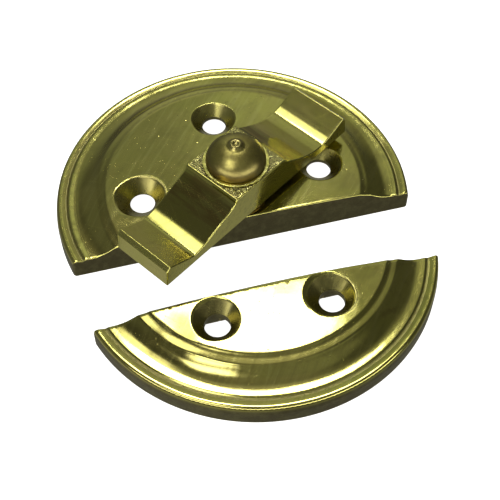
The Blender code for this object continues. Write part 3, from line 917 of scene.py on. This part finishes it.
def button_material(name, origin, degrees):
    """Turn button: buffed across the wings, filed on the boss top and drawn on the cheeks; painted highlight and
    shade on the file marks, a painted brown reflection beside the boss and painted shade round the head washer.
    """
    mat, g, p, up = start_material(name)
    q = g.turned(p, (origin[0], origin[1], 0.0), degrees)
    s, w, z = g.parts(q)
    boss = g.mul(g.step(up, 0.975, 0.998), g.step(z, BOSS_TOP - 0.25, BOSS_TOP - 0.1))
    cheek = g.step(g.math("ABSOLUTE", up), 0.10, 0.30, 1.0, 0.0)
    cheek = g.mul(cheek, g.step(g.math("ABSOLUTE", w), LEVER_W - 0.35, LEVER_W - 0.12))

    broad = g.noise(q, 0.22, 3.0, 0.55, 0.5)
    mottle = g.noise(q, 0.9, 4.0, 0.6, 0.3)
    fine = g.noise(q, 4.0, 4.0, 0.6)
    buff = g.noise(g.vec("MULTIPLY", q, (5.2, 0.28, 1.0)), 1.0, 4.0, 0.62)      # lines across the wing
    stray = scratches(g, q, 2, 5.0, 0.9)

    colour = g.mix(g.step(broad, 0.35, 0.66), BRASS, (0.53, 0.485, 0.155))
    colour = g.mix(g.mul(g.step(mottle, 0.5, 0.72), 0.35), colour, DULL)
    # painted brown reflection on the sweep beside the boss, streaked across the wing
    sweep_reflection = g.band(g.math("ABSOLUTE", s), 7.0, 1.3, 2.6)
    sweep_reflection = g.mul(sweep_reflection, g.step(g.noise(g.vec("MULTIPLY", q, (1.3, 0.16, 1.0)), 1.0, 3.0, 0.6), 0.40, 0.62))
    colour = g.mix(g.mul(sweep_reflection, 0.75), colour, (0.36, 0.25, 0.085))
    colour = g.mix(g.lin(buff, 0.38, 0.68, 0.0, 0.30), colour, (0.45, 0.40, 0.13))
    colour = g.mix(g.mul(stray, 0.35), colour, BRIGHT)
    # rubbed arrises: along the cheeks, at the boss and at the tips, lighter as wear and as a painted highlight
    along = g.band(g.math("ABSOLUTE", w), LEVER_W - 0.05, 0.12, 0.16)
    boss_edge = g.mul(g.band(g.math("ABSOLUTE", s), BOSS + 0.02, 0.10, 0.16), g.step(z, 12.2, 12.5))
    tip_edge = g.band(g.math("ABSOLUTE", s), LEVER_L, 0.06, 0.14)
    edge = g.math("MAXIMUM", g.mul(along, g.step(up, -0.5, 0.1)), g.math("MAXIMUM", boss_edge, tip_edge))
    edge = g.mul(edge, g.step(g.noise(q, 1.7, 3.0, 0.6), 0.30, 0.55, 0.4, 1.0))
    # file marks on the boss top, roughly round the rivet
    px, py = s, w
    ang = g.math("ARCTAN2", py, px)
    rad = g.math("SQRT", g.add(g.mul(px, px), g.mul(py, py)))
    marks = g.noise(g.join(g.mul(ang, 7.0), g.mul(rad, 0.7), 0.0), 1.0, 4.0, 0.7, 0.9)
    file_a = g.noise(g.turned(q, (0, 0, 0), 31.0, (0.9, 5.5, 1.0)), 1.0, 3.0, 0.6, 0.4)
    hatch = g.math("MAXIMUM", g.step(marks, 0.50, 0.62), g.step(file_a, 0.54, 0.64))
    # painted shade between the file marks and painted highlight on them
    colour = g.mix(g.mul(boss, g.lin(hatch, 0.0, 1.0, 0.80, 0.0)), colour, (0.17, 0.16, 0.065))
    colour = g.mix(g.mul(boss, g.mul(hatch, 0.8)), colour, (0.78, 0.73, 0.30))
    colour = g.mix(g.mul(cheek, 0.35), colour, (0.42, 0.40, 0.15))
    colour = g.mix(edge, colour, BRIGHT)
    under = g.step(up, -0.2, -0.5)
    colour = g.mix(g.mul(under, 0.7), colour, DULL)
    # painted shade in a ring on the boss top round the head washer
    washer_shade = g.mul(g.band(rad, WASHER_R + 0.05, 0.10, 0.25), boss)
    colour = g.mix(g.mul(washer_shade, 0.5), colour, DARK)

    rough = g.lin(mottle, 0.35, 0.75, 0.070, 0.110)
    rough = g.add(rough, g.lin(buff, 0.4, 0.7, 0.0, 0.04))
    rough = g.add(rough, g.mul(boss, 0.10))
    rough = g.add(rough, g.mul(cheek, 0.10))
    # the finger pads were dressed with a coarser cloth
    rough = g.add(rough, g.mul(g.step(g.math("ABSOLUTE", s), 14.1, 15.2), 0.10))
    rough = g.add(rough, g.mul(under, 0.25))
    rough = g.math("SUBTRACT", rough, g.mul(edge, 0.01))
    n = g.bump(g.noise(q, 0.45, 2.0, 0.45), 0.006)
    n = g.bump(buff, 0.0016, n)
    n = g.bump(fine, 0.0007, n)
    n = g.bump(g.mul(stray, -1.0), 0.0012, n)
    n = g.bump(g.mul(g.add(hatch, g.mul(fine, 0.8)), boss), 0.085, n)
    end_material(g, colour, rough, n)
    return mat


def rivet_material(name, origin):
    """Domed rivet: turned, then aged to a satin brown that is rubbed on top; painted shade darkens its lower part
    and foot, and a painted orange reflection lies on its lower left.
    """
    mat, g, p, up = start_material(name)
    q = g.vec("SUBTRACT", p, (origin[0], origin[1], 0.0))
    x, y, z = g.parts(q)
    rad = g.math("SQRT", g.add(g.mul(x, x), g.mul(y, y)))
    broad = g.noise(q, 0.35, 3.0, 0.55, 0.6)
    mottle = g.noise(q, 1.3, 4.0, 0.62, 0.4)
    fine = g.noise(q, 6.0, 4.0, 0.65)
    lines = g.noise(g.join(g.mul(rad, 7.5), g.mul(z, 6.0), 0.0), 1.0, 3.0, 0.6)       # turning marks
    colour = g.mix(g.step(broad, 0.34, 0.66), (0.36, 0.310, 0.088), (0.43, 0.380, 0.112))
    colour = g.mix(g.mul(g.step(mottle, 0.48, 0.72), 0.5), colour, (0.22, 0.180, 0.066))
    colour = g.mix(g.lin(fine, 0.45, 0.75, 0.0, 0.35), colour, (0.17, 0.14, 0.055))
    # painted reflection: an orange-brown band on the lower left of the dome
    low = g.mul(g.step(z, BOSS_TOP + 1.9, BOSS_TOP + 0.8), g.step(g.add(x, y), -1.0, -4.0))
    colour = g.mix(g.mul(low, 0.6), colour, (0.42, 0.24, 0.075))
    nub = g.step(rad, NUB_R + 0.02, NUB_R + 0.3, 1.0, 0.0)
    colour = g.mix(g.mul(nub, g.step(fine, 0.35, 0.6)), colour, (0.44, 0.37, 0.15))
    # painted shade at the foot of the dome
    dome_foot_shade = g.mul(g.step(z, BOSS_TOP + 1.1, BOSS_TOP + 0.5), g.step(rad, 3.4, 4.2))
    colour = g.mix(g.mul(dome_foot_shade, 0.45), colour, DARK)
    pit = g.step(g.cells(q, 2.4), 0.06, 0.16, 1.0, 0.0)
    colour = g.mix(g.mul(pit, 0.5), colour, DARK)
    shade = g.mul(g.step(z, BOSS_TOP + 3.1, BOSS_TOP + 1.6), 0.55)
    colour = g.mix(shade, colour, (0.17, 0.135, 0.052))
    rough = g.lin(mottle, 0.35, 0.75, 0.30, 0.40)
    rough = g.add(rough, g.mul(nub, -0.08))
    n = g.bump(g.noise(q, 0.8, 2.0, 0.5), 0.02)
    n = g.bump(lines, 0.0022, n)
    n = g.bump(fine, 0.0035, n)
    n = g.bump(g.mul(pit, -1.0), 0.008, n)
    end_material(g, colour, rough, n)
    return mat


def ring_material(name, origin, colours, spokes):
    """Stamped ring: radial hairlines on its flats."""
    mat, g, p, up = start_material(name)
    q = g.vec("SUBTRACT", p, (origin[0], origin[1], 0.0))
    x, y, z = g.parts(q)
    ang = g.math("ARCTAN2", y, x)
    rad = g.math("SQRT", g.add(g.mul(x, x), g.mul(y, y)))
    ca, sa = g.math("COSINE", ang), g.math("SINE", ang)
    strokes = g.noise(g.join(g.mul(ca, spokes), g.mul(sa, spokes), g.mul(rad, 0.5)), 1.0, 4.0, 0.68, 0.3)
    mottle = g.noise(q, 1.4, 4.0, 0.6, 0.3)
    fine = g.noise(q, 7.0, 3.0, 0.6)
    colour = g.mix(g.step(mottle, 0.36, 0.68), colours[0], colours[1])
    colour = g.mix(g.mul(g.step(strokes, 0.52, 0.64), 0.75), colour, colours[2])
    colour = g.mix(g.lin(fine, 0.45, 0.75, 0.0, 0.3), colour, DULL)
    rough = g.add(g.lin(mottle, 0.35, 0.75, 0.14, 0.26), g.lin(strokes, 0.4, 0.7, 0.0, 0.08))
    n = g.bump(strokes, 0.010)
    n = g.bump(fine, 0.0022, n)
    end_material(g, colour, rough, n)
    return mat


# ------------------------------------------------------------------ camera, floor, light
def make_camera():
    az, el, roll = 0.263957, 0.942440, 0.005362
    target, distance = Vector((0.375, -3.6096, 0.0)), 158.448
    f = Vector((math.sin(az) * math.cos(el), math.cos(az) * math.cos(el), -math.sin(el)))
    right = Vector((math.cos(az), -math.sin(az), 0.0))
    up = right.cross(f)
    r2 = right * math.cos(roll) + up * math.sin(roll)
    u2 = up * math.cos(roll) - right * math.sin(roll)
    cam = bpy.data.cameras.new("camera")
    cam.sensor_width = 36.0
    cam.lens = 36.0 * 1049.564 / 500.0
    cam.shift_x, cam.shift_y = -0.001, 0.001
    cam.clip_start, cam.clip_end = 0.01, 5.0
    obj = bpy.data.objects.new("camera", cam)
    bpy.context.scene.collection.objects.link(obj)
    m = Matrix((r2, u2, -f)).transposed().to_4x4()
    m.translation = (target - f * distance) * MM
    obj.matrix_world = m
    bpy.context.scene.camera = obj
    return obj


def make_floor():
    """Plain pale sweep, lit a little from below as a light table is."""
    mat = bpy.data.materials.new("pale_floor")
    mat.use_nodes = True
    bsdf = mat.node_tree.nodes["Principled BSDF"]
    bsdf.inputs["Base Color"].default_value = (0.80, 0.80, 0.79, 1)
    bsdf.inputs["Roughness"].default_value = 0.9
    bsdf.inputs["Specular IOR Level"].default_value = 0.1
    bsdf.inputs["Emission Color"].default_value = (1.0, 1.0, 0.995, 1)
    bsdf.inputs["Emission Strength"].default_value = 1.05
    mesh = bpy.data.meshes.new("floor")
    s = 1.2
    mesh.from_pydata([(-s, -s, 0), (s, -s, 0), (s, s, 0), (-s, s, 0)], [], [(0, 1, 2, 3)])
    mesh.materials.append(mat)
    obj = bpy.data.objects.new("floor", mesh)
    obj.location.z = -0.00002
    obj.visible_glossy = False      # the metal shows the dark room below the horizon instead
    bpy.context.scene.collection.objects.link(obj)
    return obj


# Soft light panels round the object: middle, half width and softness of the azimuth, from
# +X anticlockwise; angle range from straight up and its softness; strength; colour.
PANELS = [
    (76, 19, 3, 21.5, 30.5, 1.2, 14.0, (1.0, 0.985, 0.95)),     # tall window, behind
    (114, 27, 5, 20.5, 29.5, 1.3, 2.7, (1.0, 0.99, 0.90)),      # its dimmer neighbour
    (214, 22, 7, 21, 34, 3.0, 5.5, (1.0, 0.99, 0.95)),          # soft boxes, front left
    (223, 16, 7, 39, 49, 3.5, 5.0, (1.0, 0.99, 0.95)),
    (262, 69, 4, 71, 86, 2.5, 3.6, (1.0, 0.985, 0.97)),         # long low strip, in front
    # pale walls and cloths that lift parts of the room
    (0, 180, 1, -20, 18, 7.0, 0.15, (1.0, 0.97, 0.85)),
    (78, 45, 20, 6, 34, 8.0, 0.30, (1.0, 0.98, 0.85)),
    (90, 14, 13, 38, 82, 8.0, 0.23, (0.88, 1.0, 0.80)),
    (60, 16, 10, 37, 58, 6.0, 0.33, (0.96, 1.0, 0.84)),
    (72, 22, 13, 58, 94, 8.0, 0.20, (1.0, 0.96, 0.80)),
    (118, 22, 11, 26, 42, 7.0, 0.10, (1.0, 0.98, 0.80)),
    (150, 36, 16, 48, 104, 12.0, 0.085, (0.90, 1.0, 0.84)),
    (290, 42, 14, 18, 50, 9.0, 0.16, (0.96, 1.0, 0.84)),
]
ROOM = (0.078, 0.079, 0.066)
BENCH_BACK = (0.30, 0.30, 0.26)
BENCH_FRONT = (0.27, 0.27, 0.23)
BENCH_LEFT = (0.52, 0.52, 0.45)


def make_world():
    world = bpy.data.worlds.new("studio")
    world.use_nodes = True
    g = Graph(world.node_tree)
    d = g.vec("NORMALIZE", g.node("ShaderNodeTexCoord").outputs["Generated"])
    x, y, z = g.parts(d)
    tilt = g.mul(g.math("ARCCOSINE", z), 180.0 / math.pi)
    flat = g.math("MAXIMUM", g.math("SQRT", g.add(g.mul(x, x), g.mul(y, y))), 1e-4)
    bench = g.mix(g.step(y, 0.35, -0.35), BENCH_BACK, BENCH_FRONT)
    bench = g.mix(g.step(g.add(g.mul(x, -0.9), g.mul(y, -0.42)), 0.25, 0.75), bench, BENCH_LEFT)
    total = g.mix(g.step(tilt, 100.0, 128.0), ROOM, bench)
    for azimuth, half, soft_az, near, far, soft, strength, tint in PANELS:
        a = math.radians(azimuth)
        gate = g.step(tilt, near - soft, near + soft)
        gate = g.mul(gate, g.step(tilt, far - soft, far + soft, 1.0, 0.0))
        if half < 180:
            along = g.math("DIVIDE", g.add(g.mul(x, math.cos(a)), g.mul(y, math.sin(a))), flat)
            gate = g.mul(gate, g.step(along, math.cos(math.radians(half + soft_az)),
                                      math.cos(math.radians(max(half - soft_az, 0.5)))))
        glow = g.vec("SCALE", tint, None)
        g.plug(glow.node.inputs["Scale"], g.mul(gate, strength))
        total = g.mix(1.0, total, glow, "ADD")
    back = g.node("ShaderNodeBackground")
    g.plug(back.inputs["Color"], total)
    out = g.node("ShaderNodeOutputWorld")
    g.tree.links.new(back.outputs[0], out.inputs["Surface"])
    bpy.context.scene.world = world


def main():
    turn_deg = -math.degrees(TURN)
    base_cast = plate_material("base_cast_finish", BASE_CENTRE, BASE_CHORD, 1, BASE_HOLES)
    keeper_cast = plate_material("keeper_cast_finish", KEEPER_CENTRE, KEEPER_CHORD, -1, KEEPER_HOLES)
    button = button_material("button_brass_finish", PIVOT, turn_deg)
    aged = rivet_material("rivet_brass_finish", PIVOT)
    bright = ring_material("head_ring_finish", PIVOT, (BRASS, BRIGHT, (0.70, 0.67, 0.27)), 9.0)
    dull = ring_material("back_ring_finish", PIVOT, (DULL, BRASS, (0.52, 0.46, 0.17)), 5.0)
    bronze = ring_material("spring_bronze_finish", PIVOT,
                           ((0.44, 0.30, 0.14), (0.52, 0.37, 0.18), (0.58, 0.44, 0.23)), 3.0)
    pin = (PIVOT[0] - BASE_CENTRE[0], PIVOT[1] - BASE_CENTRE[1])
    Plate(BASE_CENTRE, BASE_CHORD, True, BASE_CEIL, CROWN_DROP, BASE_WALL, 0.42, (0.03, 0.5), [], BASE_HOLES, pin,
          3).make("base_casting", base_cast, "base", "base_plate")
    Plate(KEEPER_CENTRE, KEEPER_CHORD, False, KEEPER_CEIL, KEEPER_DROP, KEEPER_WALL, 0.30, (0.10, 0.6),
          [(-15.3, -12.6, 2.4, 0.22), (16.8, -10.0, 3.6, 0.25)], KEEPER_HOLES, None, 5).make("keeper_casting", keeper_cast, "keeper", "keeper_plate")
    make_lever(button)
    make_rivet(aged)
    z0 = BOSS_TOP + GAP
    make_washer("head_ring", SHANK_R + 0.15, WASHER_R, z0, z0 + WASHER_T, 0.08, bright,
                "head_washer")
    z1 = BASE_CEIL - GAP
    make_washer("back_ring", TENON_R + 0.15, BACK_WASHER_R, z1 - BACK_WASHER_T, z1, 0.1, dull,
                "back_washer")
    make_wave(bronze)
    make_floor()
    make_world()
    make_camera()


main()

scene = bpy.context.scene
scene.view_settings.view_transform = "Standard"
scene.view_settings.look = "None"
